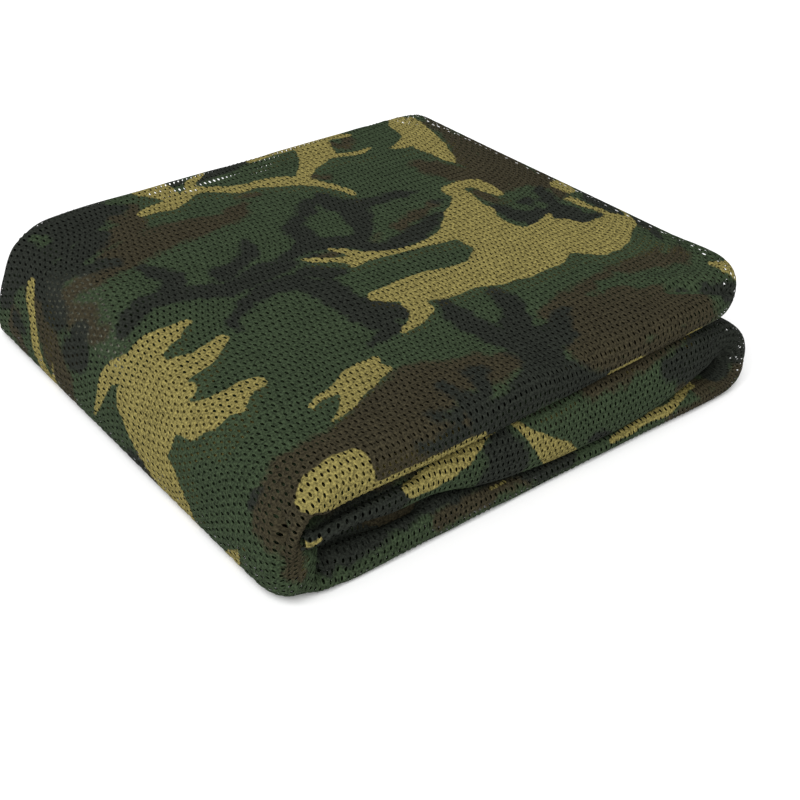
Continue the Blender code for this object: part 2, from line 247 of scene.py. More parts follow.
class Fold:
    """Where each point of the flat cloth lies once it is folded."""

    def __init__(self):
        # the strip's length on the outside and through its middle, at fractional row numbers
        rows = np.linspace(0, len(RIBS) - 1, ROW_SAMPLES)
        ribs = smooth_columns(RIBS, rows)
        outer = run_length(ribs[:, :2])
        middle = run_length((ribs[:, 0:2] + ribs[:, 2:4]) / 2)
        self.length = outer[-1]
        self.along = np.arange(0, self.length + TABLE_STEP, TABLE_STEP)
        middle_here = np.interp(np.interp(self.along, outer, rows), rows, middle)
        # near the strip's ends the layers inside lag behind the outer one
        from_start = np.clip(1 - middle_here / END_REACH, 0, 1) ** 2
        from_end = np.clip(1 - (middle[-1] - middle_here) / END_REACH, 0, 1) ** 2
        pull = START_PULL * from_start - END_PULL * from_end
        marks = section_marks()
        points = []
        for stretch, t, inside in marks:
            own_rows = np.interp(middle_here + inside * pull, middle, rows)
            own = smooth_columns(RIBS, own_rows)
            y, height = section_point(stretch, t, own)
            x = own[:, 2] + (own[:, 0] - own[:, 2]) * height
            z = own[:, 3] + (own[:, 1] - own[:, 3]) * height
            points.append(np.stack([x, y, z], axis=1))
        points = np.array(points)
        points[..., 2] -= hollow_depth(points[..., 0], points[..., 1], points[..., 2])
        points -= [CENTRE_X, CENTRE_Y, 0.0]
        # each section's own length across, counted from the tip of the near roll
        lengths = np.linalg.norm(np.diff(points, axis=0), axis=2)
        across = np.concatenate([np.zeros((1, lengths.shape[1])), np.cumsum(lengths, axis=0)])
        tip = next(i for i, mark in enumerate(marks) if mark[0] == "near roll" and mark[1] >= 0.5)
        across -= across[tip]
        self.low_edge, self.mid_edge = across[0], across[-1]
        self.across = np.arange(LEAST_ACROSS, MOST_ACROSS + TABLE_STEP, TABLE_STEP)
        self.table = np.empty((len(self.along), len(self.across), 3))
        for i in range(len(self.along)):
            for axis in range(3):
                self.table[i, :, axis] = np.interp(self.across, across[:, i], points[:, i, axis])

    def places(self, along, across):
        """The folded places of points on the flat cloth, read between the table's entries."""
        a = np.clip(along / TABLE_STEP, 0, len(self.along) - 1 - LAST_CELL)
        b = np.clip((across - LEAST_ACROSS) / TABLE_STEP, 0, len(self.across) - 1 - LAST_CELL)
        i, j = a.astype(int), b.astype(int)
        s, t = (a - i)[:, None], (b - j)[:, None]
        return (
            self.table[i, j] * (1 - s) * (1 - t)
            + self.table[i + 1, j] * s * (1 - t)
            + self.table[i, j + 1] * (1 - s) * t
            + self.table[i + 1, j + 1] * s * t
        )


# ---- the net: a knitted mesh with rows of small holes, every second row set off by half ----
HOLE_PITCH = 3.2  # from hole to hole along a row, which runs along the strip
ROW_PITCH = 4.6  # from row to row, across the strip
HOLE_LONG, HOLE_WIDE = 2.9, 1.15  # the holes are pointed at both ends
HOLE_SHOULDER = 0.5  # share of the half length at which a hole narrows to its point
SHOULDER_WIDE = 0.9  # its width there, as a share of its greatest
DIMPLE = 0.4  # how far the rim of a hole sinks below the cloth around it
PANEL_ENDS = (0, 98, 195, 292)  # holes along at which one drawn panel of the net ends
FIRST_ROW, LAST_ROW = -10, 68  # from just inside the near roll to just inside the far turn
END_HOLES, END_FIRST_ROW = 4, -63  # the lowest layer's right-hand end, which light shows through
WELD = 0.02  # neighbouring cells are welded within this
# the net gives: places on the flat net on the left, on the folded cloth on the right, in mm
GIVE_ALONG = [(0, 0), (90, 76), (215, 202), (330, 330), (936, 960)]
GIVE_ACROSS = [(-320, -315), (-46, -41), (0, 0), (22, 19), (118, 110), (208, 205), (314, 330)]
# slow waves that crowd and spread the holes: shift in mm, wavelengths along and across, start
WAVES_ALONG = [(2.4, 260, 110, 0.4), (1.2, 110, -90, 2.1), (0.4, 43, 70, 4.0)]
WAVES_ACROSS = [(1.6, 190, 140, 1.3), (1.0, -120, 170, 3.6), (0.5, 52, 80, 5.2)]
Pull = namedtuple("Pull", "along across reach_along reach_across move_along move_across")
PULLS = [  # where the folding pulled the rows of holes aside
    Pull(222, 160, 40, 75, 0, 9),
    Pull(112, 15, 55, 40, 7, 0),
    Pull(295, 12, 60, 42, -8, 0),
]
Tuck = namedtuple("Tuck", "start end width depth")
TUCKS = [  # creases from point to point of the cloth; a ridge has a depth below nothing
    # the near left corner: the crease below the knuckle, the folds beside it, the dent above
    Tuck((361, -22), (368, -3), 3.4, 7.0),
    Tuck((344, -12), (352, 4), 4.0, -1.5),
    Tuck((322, -1), (342, 6), 3.2, 1.6),
    Tuck((310, 16), (315, 12), 3.2, 3.2),
    Tuck((315, 12), (333, 9), 3.4, 2.8),
    Tuck((300, -5), (316, -4), 5.0, 4.5),
    Tuck((374, -12), (379, -4), 4.5, 3.0),
    Tuck((376, -20), (424, -20), 9.0, 9.5),
    Tuck((895, -15), (950, -15), 7.0, 3.0),
    Tuck((905, 11), (951, 10), 4.0, 4.5),
    # the right-hand corner of the top
    Tuck((56, 28), (26, 5), 3.0, 3.6),
    Tuck((52, 38), (20, 16), 5.5, -1.8),
    # the pleats of the right-hand loop
    Tuck((707, 8), (684, -2), 3.0, 2.2),
    Tuck((698, -3), (672, -8), 3.5, 2.5),
    Tuck((704, 15), (690, 8), 3.0, 1.6),
]
Nudge = namedtuple("Nudge", "along across reach_along reach_across x y z")
NUDGES = [
    Nudge(960, 0, 17, 11, -9.0, -2.5, 0.5),  # the knuckle's tip, drawn out past the roll beside it
    Nudge(352, 8, 20, 16, 0.5, 1.8, 0.8),  # the corner below it, a little rounder
    Nudge(12, 14, 10, 14, 2.5, 0.0, 0.8),  # the top's right-hand corner, a little sharper
    Nudge(930, 597, 40, 22, 0.0, 7.0, 0.0),  # the layer inside draws back from the pressed-in roll
]

# ---- the plain layers inside ----
PLAIN_ALONG, PLAIN_ACROSS = 3.5, 3.0  # spacing of their points
# where the low and the middle layer begin under the net, as (along, across). The low one reaches
# round the near roll at the right-hand ends, with a gap in the loop, and the middle one starts
# late on part of the far edge, so that light shows through the net in both places
PLAIN_LOW = [(0, 8), (25, 8), (60, -8), (590, -8), (625, 13), (648, 13), (653, -4), (673, -4)]
PLAIN_LOW += [(678, 13), (700, 13), (735, -8), (960, -8)]
PLAIN_MID = [(0, 296), (100, 296), (125, 320), (198, 320), (220, 296), (960, 296)]
LOW_LIFT, MID_LIFT = -0.9, -0.3  # how far out of its place in the fold each is lifted
PLAIN_DEEPER = 1.25  # a crease presses them in a little more than the net over them

# ---- the print: patches as strokes, (along, across, half width) at each point ----
TAN_STROKES = [
    # the large patch on the right of the top: its hook, trunk, claw, lower arm and right arm
    [(66, 191, 6), (57, 192, 5.5), (50, 188, 6), (49, 178, 5), (49, 168, 3)],
    [(67, 190, 6), (67, 180, 6), (73, 170, 9), (80, 158, 15), (88, 146, 18), (88, 130, 18)],
    [(88, 130, 18), (86, 118, 21), (84, 104, 21)],
    [(104, 146, 8), (118, 145, 4), (130, 146.5, 2.2), (142, 148.5, 2.8), (152, 152, 4)],
    [(152, 152, 4), (161, 156, 6.5), (166, 153, 4.5), (169, 149, 1.5)],
    [(160, 160, 4), (163, 167, 2.5), (168, 173, 1.2)],
    [(166, 157, 4), (174, 162, 2.2), (181, 168, 2.6), (186, 172, 1.4)],
    [(178, 117, 5), (170, 114, 8.5), (160, 111, 12), (146, 107, 15), (131, 105, 12.5)],
    [(131, 105, 12.5), (116, 100, 14.5), (100, 104, 21), (84, 106, 23), (66, 108, 18)],
    [(168, 100, 6), (168, 93, 6), (175, 87, 4.5), (182, 84, 3), (189, 81.5, 1.5)],
    [(66, 108, 18), (56, 108, 18), (50, 98, 17), (44, 92, 17), (34, 90.5, 15), (26, 90, 12)],
    [(26, 90, 12), (20, 85, 7), (14, 80, 4), (8, 78, 2.2), (2, 78, 1.8)],
    [(58, 114, 12), (52, 123, 5), (46, 128.5, 1.8)],
    [(58, 92, 10), (52, 82, 7)],
    # the large patch on the left, which runs down the spine
    [(300, 144, 13), (308, 132, 19), (314, 120, 21), (318, 112, 10)],
    [(302, 148, 9), (290, 148, 10), (281, 148.5, 7.5), (274, 151, 4.5), (268, 152.5, 2.5)],
    [(320, 145, 10), (328, 130, 12), (336, 115, 12), (341, 102, 12), (346, 90, 8), (352, 84, 5)],
    [(312, 114, 12), (302, 112, 11), (294, 106, 5)],
    [(292, 122, 11), (279, 119, 7), (269, 124.5, 5), (262, 129, 3.5)],
    [(306, 100, 8), (303, 91, 9), (294, 84, 9.5), (284, 83, 8.5), (275, 86, 5.5), (270, 86, 5)],
    [(287, 77, 4.5), (285, 74, 2)],
    [(305, 152, 8), (313, 163, 6), (322, 169, 5), (333, 173, 2.6), (342, 178.5, 1)],
    # small ones low on the spine
    [(307, 261, 4), (315, 257, 4.5), (325, 250.5, 4), (335, 247, 5), (343, 243, 5)],
    [(343, 243, 5), (350, 236, 6), (351, 230, 5), (344, 227.5, 1.8), (337, 226.5, 1)],
    [(341, 41.5, 1.5), (346, 45, 4), (353, 51, 5)],
    # the forked one in front, and the one on the near roll
    [(261, 54.5, 1.5), (254, 58, 2.5), (246, 59, 3.5), (238, 60, 5)],
    [(260, 39.5, 1.3), (252, 43, 2.5), (245, 48, 4), (238, 55, 7)],
    [(238, 57, 8.5), (230, 61, 9.5), (222, 66, 6.5), (214, 70.5, 1.8)],
    [(226, 60, 7), (217, 60.5, 3.8)],
    [(295, 8, 6), (287, 11, 7), (275, 11.5, 7.5), (268, 12, 6.5), (267, 3, 5), (268, -4, 5)],
    [(295, 6, 5), (282, 0, 6), (268, -3, 6)],
    # the pale strip that shows on the underside of the near roll
    [(268, -5, 5), (245, -6, 5), (225, -6, 4.5), (208, -4, 3.5), (200, -3, 2)],
    [(120, -4, 2), (108, -4.5, 3), (97, -4, 2)],
    [(64, -3.5, 1.5), (55, -4, 1.5)],
    # along the far edge
    [(228, 273, 3), (220, 275, 5), (210, 274, 6.5), (202, 277, 6), (194, 281, 4.5)],
    [(194, 281, 4.5), (186, 282.5, 4), (180, 279, 3.5), (172, 273, 4.5), (165, 269, 5)],
    [(165, 269, 5), (155, 268, 4.5), (146, 266, 6), (137, 261, 7), (130, 256, 6)],
    [(130, 256, 6), (124, 247, 4), (119, 236, 3.2), (116, 226, 2.5), (116, 221, 1.5)],
    [(203, 283, 6), (205, 292, 8.5), (208, 301, 11), (212, 318, 11)],
    [(188, 285, 4), (186, 292, 3.5), (180, 296, 3), (172, 301, 2)],
    [(124, 262, 4.5), (115, 270, 6), (106, 277, 9), (99, 285, 12), (95, 296, 12), (92, 312, 8)],
    [(97, 275, 4), (90, 272, 2.5), (83, 269, 2.5), (76, 267, 2.5), (69, 269, 1.5)],
    [(140, 298, 2), (120, 300, 4), (100, 302, 7), (80, 299, 5), (67, 293, 2)],
    # the far right corner
    [(31, 283, 8), (27, 274, 12), (31, 263, 12), (34, 252, 11.5), (35, 243, 9.5)],
    [(35, 243, 9.5), (37, 233, 6.5), (39, 224, 4), (39.5, 219.5, 1.5)],
    [(40, 262, 8), (50, 259, 4.5), (58, 260.5, 1.5)],
    [(28, 286, 7), (22, 298, 7), (18, 312, 6)],
    # bits along the right-hand end
    [(15, 144, 2.5), (13, 138, 4.5), (10, 130, 5), (8, 124, 3)],
    [(24, 131, 1.2), (21, 127, 2.5), (20, 120, 3), (20, 113, 2.5), (18.5, 107, 2), (17.5, 101, 1.8)],
    [(17.5, 101, 1.8), (17, 95, 2), (15, 88, 2.5)],
    [(20, 23, 1.8), (19, 15, 4.2), (15, 9, 4.6), (10, 3, 4), (5, -1, 3)],
]
BROWN_STROKES = [
    # on the spine and behind it
    [(352, 210, 8), (340, 214, 11), (330, 226, 11), (320, 238, 10), (312, 250, 8), (307, 264, 5)],
    [(345, 268, 6), (338, 274, 8), (329, 274, 7), (321, 284, 4)],
    [(304, 226, 7), (304, 214, 7), (299, 202, 6), (305, 190, 6), (299, 182, 4)],
    # the long band across the far half
    [(304, 226, 7), (282, 224, 9), (262, 231, 12), (246, 239, 14), (226, 241, 14), (206, 240, 10)],
    [(206, 240, 10), (192, 239, 7), (183, 243, 7), (175, 249, 3)],
    [(270, 250, 5), (256, 255, 8), (240, 262, 9), (232, 274, 6), (228, 285, 4)],
    [(246, 282, 4), (239, 272, 5)],
    [(173, 258, 3), (162, 257, 3)],
    [(120, 256, 3), (115, 250, 3)],
    [(84, 288, 2.5), (79, 280, 5), (72, 288, 4)],
    # the far right, round the corner patch and down the right-hand end
    [(58, 230, 7), (53, 216, 10), (47, 202, 11), (40, 188, 9), (41, 174, 8)],
    [(30, 206, 12), (27, 188, 13), (27, 172, 10)],
    [(30, 47, 6), (24, 42, 7)],
    [(32, 214, 9), (19, 228, 9), (13, 212, 9), (14, 192, 10), (13, 172, 10), (19, 158, 9)],
    [(10, 258, 5), (13, 246, 6), (17, 236, 7)],
    [(19, 158, 9), (11, 144, 8), (19, 138, 6)],
    [(16, 266, 3), (11, 252, 5), (8, 240, 6)],
    # beside the claw and inside the hook
    [(122, 170, 4), (109, 176, 5), (97, 179, 4), (86, 183, 3)],
    [(144, 165, 3), (137, 170, 2)],
    [(175, 168, 4), (168, 167, 3)],
    [(57, 178, 3), (57, 166, 4), (55, 161, 4)],
    [(185, 112, 5), (182, 106, 4)],
    [(341, 131, 3), (348, 121, 3.5)],
    # the broad brown along the near side, left
    [(322, 2, 6), (335, 3, 6), (346, -2, 4)],
    [(315, 21, 12), (300, 21, 14), (282, 19, 16), (262, 19, 16), (243, 24, 19), (224, 32, 20)],
    [(224, 32, 20), (208, 38, 19), (195, 34, 14), (181, 32, 14), (167, 29, 8)],
    [(326, 4, 7), (300, 2, 10), (262, 2, 10), (228, 6, 10), (196, 2, 10)],
    # and right
    [(116, 48, 11), (97, 50, 12), (78, 54, 10), (58, 59, 6), (43, 57, 8), (31, 51, 9), (22, 42, 7)],
    [(130, 12, 11), (112, 18, 18), (92, 25, 20), (74, 22, 20), (60, 14, 15), (54, 4, 10)],
    [(118, 36, 13), (97, 40, 14), (78, 38, 11)],
    [(124, -2, 9), (85, -3, 9), (60, -3, 9)],
]
BLACK_STROKES = [
    # far left
    [(322, 287, 10), (303, 281, 15), (283, 271, 14), (263, 284, 16), (246, 291, 10), (236, 287, 6)],
    [(299, 264, 12), (302, 250, 9), (292, 243, 9), (277, 250, 9), (262, 262, 9)],
    [(300, 296, 10), (270, 302, 10), (246, 304, 8)],
    [(322, 207, 8), (317, 196, 10), (309, 201, 8)],
    [(331, 273, 5), (334, 262, 3)],
    [(198, 298, 3), (190, 297, 4.5)],
    [(181, 291, 3), (173, 295, 5), (160, 298, 6), (146, 300, 5), (128, 302, 3)],
    [(296, 241, 8), (304, 240, 9), (311, 233, 8), (310, 223, 8)],
    [(283, 234, 5), (275, 232, 7), (267, 230, 5)],
    # the dark limbs in the middle
    [(293, 170, 5), (289, 174, 7), (277, 181, 7), (263, 181, 8), (249, 176, 8), (236, 168, 7)],
    [(259, 214, 4), (256, 208, 6), (252, 198, 8), (257, 188, 8)],
    [(236, 168, 7), (222, 170, 8), (208, 175, 9), (195, 173, 6)],
    [(228, 184, 8), (215, 190, 6), (204, 196, 5), (200, 206, 4), (199, 211, 2)],
    [(196, 178, 4), (186, 182, 5), (176, 184, 8), (163, 179, 8), (151, 174, 9), (140, 184, 8)],
    [(174, 186, 6), (170, 198, 8), (169, 208, 6), (158, 216, 4), (150, 221, 6), (143, 229, 5)],
    [(134, 229, 6), (133, 218, 9), (128, 208, 9), (131, 196, 8), (140, 184, 8)],
    [(128, 208, 8), (112, 207, 6), (98, 206, 6), (88, 203, 3.5)],
    [(150, 165, 7), (147, 157, 5), (132, 156, 7), (120, 158, 7), (108, 163, 6), (94, 169, 4)],
    [(184, 170, 3), (178, 173, 2)],
    [(193, 160, 6), (185, 154, 7), (178, 150, 4)],
    [(83, 184, 3), (78, 182, 2)],
    [(251, 131, 2), (250, 140, 3.5), (240, 147, 4), (230, 153, 6), (216, 158, 7), (203, 156, 7)],
    [(200, 152, 7), (195, 140, 10), (194, 126, 9), (192, 112, 10), (184, 103, 9), (181, 97, 7)],
    [(193, 108, 9), (193, 96, 8), (190, 87, 4), (199, 84, 4), (208, 82, 2)],
    [(350, 148, 3), (347, 138, 6), (346, 130, 4)],
    [(350, 165, 4), (348, 160, 2)],
    # the tree in the middle of the near side
    [(156, 90, 4), (157, 80, 7), (158, 70, 7.5), (157, 58, 8), (153, 45, 10), (151, 32, 11)],
    [(128, 84, 3.5), (128, 76, 6), (131, 66, 7), (138, 56, 7.5), (144, 46, 9)],
    [(140, 36, 10), (127, 38, 7), (118, 44, 5), (111, 48, 2.5)],
    [(137, 29, 6), (126, 28, 4)],
    [(151, 32, 11), (152, 20, 11), (160, 10, 12), (180, 3, 11), (196, 2, 10)],
    [(150, 8, 10), (140, -2, 10), (126, -6, 6)],
    [(205, 33, 3), (204, 24, 5), (201, 13, 7), (200, 6, 9)],
    [(222, 16, 4), (213, 12, 4)],
    [(190, 34, 3), (184, 31, 5), (189, 23, 4), (193, 16, 4)],
    [(236, 5, 3), (214, 3, 6)],
    [(316, 35, 2.5), (306, 32, 2)],
    # right
    [(63, 156, 3), (59, 145, 8), (57, 134, 7.5), (60, 127, 3.5)],
    [(58, 134, 6), (46, 136, 6), (38, 128, 9), (36, 116, 10), (28, 109, 4), (21, 103, 2)],
    [(44, 152, 5), (38, 140, 6), (33, 133, 5), (27, 152, 5)],
    [(14, 117, 2.5), (11, 108, 6), (10, 97, 6), (8, 88, 5.5), (3, 100, 6)],
    [(10, 73, 4), (11, 65, 5.5), (10, 55, 5.5), (9, 43, 3.5)],
    [(52, 26, 2), (44, 21, 3.5), (37, 14.5, 5), (28, 6, 6.5), (19, -5, 6)],
]
GREEN_STROKES = [  # green that shows inside the darker colours
    [(286, 286, 3.5), (284, 277, 3.5)],
    [(285, 207, 4), (284, 200, 8), (270, 201, 8), (262, 196, 5)],
    [(150, 208, 6), (149, 198, 9), (151, 189, 8)],
    [(322, 273, 3), (314, 267, 4.5)],
    [(90, 50, 2), (78, 53, 4.5), (66, 52, 5.5), (57, 46, 6.5), (49, 37, 8), (41, 28, 7)],
    [(41, 29, 6), (34, 24, 5), (27, 19, 4), (21, 15, 3)],
    [(56, 158, 3), (44, 159, 4), (33, 159, 3)],
    [(52, 148, 4), (50, 143, 3)],
    [(41, 143, 3), (40, 140, 3)],
    [(27, 54, 2), (13, 52, 5), (6, 44, 5)],
]
# the same on the front of the two lower passes
FRONT_TAN_STROKES = [
    [(857, 19, 1.5), (866, 18, 4), (876, 13, 5.5), (888, 8, 6), (897, 5, 5.5), (907, 5, 5)],
    [(846, 20.5, 1.2), (841, 14, 2.4), (834, 6, 4.2), (827, -1, 6.3), (819, -9, 8.6), (812, -20, 10)],
    [(547, -3, 1.5), (560, -4, 2.5), (570, -5, 2), (576, -5, 2.5), (585, -4.5, 3)],
    [(585, -4.5, 3), (592, -6, 2.5), (600, -9, 2), (605, -11, 2), (611, -12, 2.5)],
    [(468, -8, 0.8), (478, -8, 0.8)],
    [(959, 4, 0.7), (957, 1, 1.0), (954.5, 0, 1.2), (952, 1, 0.7)],
]
FRONT_BROWN_STROKES = [
    [(798, 22, 6), (776, 23, 8), (752, 25, 8), (730, 26, 9)],
    [(436, -6, 5), (450, -7, 6), (462, -6, 5), (476, -8, 5), (490, -6, 4)],
    [(612, -7, 6), (624, -8, 6), (640, -4, 6), (655, 2, 8)],
    [(588, 2, 4), (606, 2, 4.5), (624, 1, 5), (640, 0, 6)],
    [(722, -8, 4), (734, -5, 3)],
    [(846, -9, 3), (853, -10, 3)],
    [(900, 16, 4), (920, 14, 4), (945, 13, 3)],
]
# black print on the front of the lower passes, and black painted as shade where the knuckle and the
# cavity under the middle pass lie in shadow
FRONT_BLACK_AND_SHADE_STROKES = [
    [(855, 22, 5), (856, 8, 10), (852, 0, 12), (858, -12, 14), (850, -24, 14)],
    # painted shade: the knuckle's front, in shadow under the top roll
    [(916, 4, 9), (930, 0, 14), (946, 0, 12), (958, 0, 8)],
    [(748, 12, 5), (738, 8, 9), (722, 6, 14), (704, 4, 18), (686, 4, 18), (672, 4, 12)],
    [(795, -9, 5), (787, -13, 4)],
    # the next three are painted shade over a thin dark band of the print: the cavity under the middle
    # pass, and the strip right of the crease below the knuckle
    [(372, -23, 7), (395, -25, 8), (425, -26, 8), (450, -24, 6)],
    [(500, -6, 8), (490, -14, 7), (470, -16, 6), (440, -17, 6), (410, -15, 6), (385, -12, 7)],
    [(374, -9, 6), (377, -18, 8)],
    [(640, -14, 8), (660, -14, 10), (676, -10, 8)],
    [(516, -5, 6), (506, -8, 6)],
]
# pale patches painted on a layer inside, which show as light specks through the holes over them:
# painted light standing for light seen through the net
INNER_SEE_THROUGH_LIGHT_STROKES = [
    [(300, 350, 8), (295, 375, 14), (298, 400, 13), (303, 424, 8)],
]
FRONT_REACH = 26.0  # how far these reach across the cloth from the tip of the roll
FRONT_FROM = 362.0  # the strip's lower passes begin here
PRINT_REPEAT = 352.0  # the print comes round again after this length
FAR_MIRROR = 306.0  # past the far edge, and past the near roll, the print runs back
NEAR_MIRROR = -12.0
FAR_FROM_PATCH = 9.0  # past this distance from a patch its exact distance doesn't matter


def stroke_distance(strokes, along, across):
    """Distance in mm from each point to the nearest edge of the strokes, negative inside."""
    nearest = np.full(along.shape, FAR_FROM_PATCH)
    for stroke in strokes:
        points = np.array(stroke, float)
        low = points[:, :2].min(axis=0) - points[:, 2].max() - FAR_FROM_PATCH
        high = points[:, :2].max(axis=0) + points[:, 2].max() + FAR_FROM_PATCH
        close = np.flatnonzero(
            (along > low[0]) & (along < high[0]) & (across > low[1]) & (across < high[1])
        )
        if not len(close):
            continue
        here = np.stack([along[close], across[close]], axis=1)
        best = nearest[close]
        for start, end in zip(points, points[1:]):
            run = end[:2] - start[:2]
            t = np.clip((here - start[:2]) @ run / (run @ run), 0, 1)
            offset = here - start[:2] - t[:, None] * run
            half = start[2] + (end[2] - start[2]) * t
            best = np.minimum(best, np.hypot(offset[:, 0], offset[:, 1]) - half)
        nearest[close] = best
    return nearest


def printed(strokes, front_strokes, along, across):
    """Distance to one colour's patches anywhere on the cloth."""
    lower = along > FRONT_FROM
    back = np.where(across > FAR_MIRROR, 2 * FAR_MIRROR - across, across)
    back = np.where(across < NEAR_MIRROR, 2 * NEAR_MIRROR - across, back)
    round_again = np.where(along > PRINT_REPEAT, (along % PRINT_REPEAT), along)
    distance = stroke_distance(strokes, np.where(lower, round_again, along), back)
    distance = np.where(lower, np.maximum(distance, FRONT_REACH - np.abs(across)), distance)
    front = stroke_distance(front_strokes, along, across)
    return np.where(lower, np.minimum(distance, front), distance)


def print_distances(along, across):
    """The three darker and lighter colours over the green ground."""
    tan = printed(TAN_STROKES, FRONT_TAN_STROKES, along, across)
    green = printed(GREEN_STROKES, [], along, across)
    black = np.maximum(printed(BLACK_STROKES, FRONT_BLACK_AND_SHADE_STROKES, along, across), -green)
    brown = np.maximum(printed(BROWN_STROKES, FRONT_BROWN_STROKES, along, across), -green)
    return {"tan": tan, "black": black, "brown": brown}


# ---- making the cloth ----
def net_cell():
    """One cell of the net, flat: a hole with the cloth around it. Its faces wind so that they
    look out once the cloth is folded, since the strip then runs from right to left."""
    wide, high = HOLE_PITCH / 2, ROW_PITCH / 2
    around = [(0, high), (wide, high), (wide, 0), (wide, -high)]
    around += [(-x, -y) for x, y in around]
    half, tip = HOLE_WIDE / 2, HOLE_LONG / 2
    shoulder_x, shoulder_y = half * SHOULDER_WIDE, tip * HOLE_SHOULDER
    hole = [(0, tip), (shoulder_x, shoulder_y), (half, 0), (shoulder_x, -shoulder_y)]
    hole += [(-x, -y) for x, y in hole]
    sides = len(hole)
    after = [(i + 1) % sides for i in range(sides)]
    faces = [(after[i], after[i] + sides, i + sides, i) for i in range(sides)]
    mesh = bpy.data.meshes.new("net cell")
    mesh.from_pydata([(x, y, 0) for x, y in around + hole], [], faces)
    rim = mesh.attributes.new("rim", "FLOAT", "POINT")
    rim.data.foreach_set("value", [0.0] * sides + [1.0] * sides)
    cell = bpy.data.objects.new("net cell", mesh)
    bpy.context.collection.objects.link(cell)
    return cell


def add_node(tree, kind, links=(), **settings):
    """A node with its settings, and its inputs linked or set as (input, socket or value)."""
    node = tree.nodes.new(kind)
    for name, value in settings.items():
        setattr(node, name, value)
    for key, value in links:
        if isinstance(value, bpy.types.NodeSocket):
            tree.links.new(value, node.inputs[key])
        else:
            node.inputs[key].default_value = value
    return node


def net_tree():
    """Rows of cells, every second row set off by half a cell, welded into one net."""
    tree = bpy.data.node_groups.new("rows of net cells", "GeometryNodeTree")
    for name, kind in (
        ("Cell", "Object"),
        ("Cloth", "Material"),
        ("Holes", "Int"),
        ("Rows", "Int"),
        ("First Hole", "Int"),
        ("First Row", "Int"),
        ("Hole Pitch", "Float"),
        ("Row Pitch", "Float"),
    ):
        tree.interface.new_socket(name, in_out="INPUT", socket_type="NodeSocket" + kind)
    tree.interface.new_socket("Net", in_out="OUTPUT", socket_type="NodeSocketGeometry")
    given = add_node(tree, "NodeGroupInput").outputs
    position = add_node(tree, "GeometryNodeInputPosition")
    place = add_node(tree, "ShaderNodeSeparateXYZ", [(0, position.outputs[0])])
    # the arithmetic from a point of the grid to a cell's centre: result, what is done, to what
    values = {"x": place.outputs["X"], "y": place.outputs["Y"], **dict(given.items())}
    for result, operation, *terms in (
        ("last hole", "SUBTRACT", "Holes", 1.0),
        ("hole", "MULTIPLY_ADD", "last hole", 0.5, "x"),
        ("hole", "ADD", "hole", "First Hole"),
        ("last row", "SUBTRACT", "Rows", 1.0),
        ("row", "MULTIPLY_ADD", "last row", 0.5, "y"),
        ("row", "ADD", "row", "First Row"),
        ("row", "ROUND", "row"),
        ("set off", "FLOORED_MODULO", "row", 2.0),
        ("hole", "MULTIPLY_ADD", "set off", 0.5, "hole"),
        ("hole", "ADD", "hole", 0.5),
        ("along", "MULTIPLY", "hole", "Hole Pitch"),
        ("row", "ADD", "row", 0.5),
        ("across", "MULTIPLY", "row", "Row Pitch"),
    ):
        links = [(i, values.get(term, term)) for i, term in enumerate(terms)]
        values[result] = add_node(tree, "ShaderNodeMath", links, operation=operation).outputs[0]
    grid = add_node(
        tree,
        "GeometryNodeMeshGrid",
        [
            ("Size X", values["last hole"]),
            ("Size Y", values["last row"]),
            ("Vertices X", given["Holes"]),
            ("Vertices Y", given["Rows"]),
        ],
    )
    centre = add_node(
        tree, "ShaderNodeCombineXYZ", [("X", values["along"]), ("Y", values["across"])]
    )
    centres = add_node(
        tree,
        "GeometryNodeSetPosition",
        [("Geometry", grid.outputs["Mesh"]), ("Position", centre.outputs[0])],
    )
    cell = add_node(tree, "GeometryNodeObjectInfo", [("Object", given["Cell"])])
    cells = add_node(
        tree,
        "GeometryNodeInstanceOnPoints",
        [("Points", centres.outputs[0]), ("Instance", cell.outputs["Geometry"])],
    )
    real = add_node(tree, "GeometryNodeRealizeInstances", [(0, cells.outputs[0])])
    net = add_node(
        tree, "GeometryNodeMergeByDistance", [("Geometry", real.outputs[0]), ("Distance", WELD)]
    )
    clad = add_node(
        tree, "GeometryNodeSetMaterial", [("Geometry", net.outputs[0]), ("Material", given["Cloth"])]
    )
    add_node(tree, "NodeGroupOutput", [(0, clad.outputs[0])])
    return tree


def flat_net(name, tree, cell, cloth, first_hole, last_hole, first_row, last_row):
    """A flat piece of the net in millimetres, along in x and across in y."""
    piece = bpy.data.objects.new(name, bpy.data.meshes.new(name))
    bpy.context.collection.objects.link(piece)
    settings = {
        "Cell": cell,
        "Cloth": cloth,
        "Holes": last_hole - first_hole,
        "Rows": last_row - first_row,
        "First Hole": first_hole,
        "First Row": first_row,
        "Hole Pitch": HOLE_PITCH,
        "Row Pitch": ROW_PITCH,
    }
    modifier = piece.modifiers.new("net", "NODES")
    modifier.node_group = tree
    for socket in tree.interface.items_tree:
        if socket.name in settings:
            modifier[socket.identifier] = settings[socket.name]
    made = piece.evaluated_get(bpy.context.evaluated_depsgraph_get())
    mesh = bpy.data.meshes.new_from_object(made)
    mesh.name = name
    piece.modifiers.remove(modifier)
    piece.data = mesh
    return piece


def flat_sheet(name, cloth, along, starts, ends, rows):
    """A flat plain sheet between two lines given as their across at each along."""
    share = np.linspace(0, 1, rows + 1)[None, :]
    across = starts[:, None] * (1 - share) + ends[:, None] * share
    points = np.stack([np.repeat(along, rows + 1), across.ravel(), 0 * across.ravel()], axis=1)
    i, j = np.meshgrid(np.arange(len(along) - 1), np.arange(rows), indexing="ij")
    first = (i * (rows + 1) + j).ravel()
    faces = np.stack([first, first + 1, first + rows + 2, first + rows + 1], axis=1)
    mesh = bpy.data.meshes.new(name)
    mesh.from_pydata(points.tolist(), [], faces.tolist())
    mesh.materials.append(cloth)
    piece = bpy.data.objects.new(name, mesh)
    bpy.context.collection.objects.link(piece)
    return piece


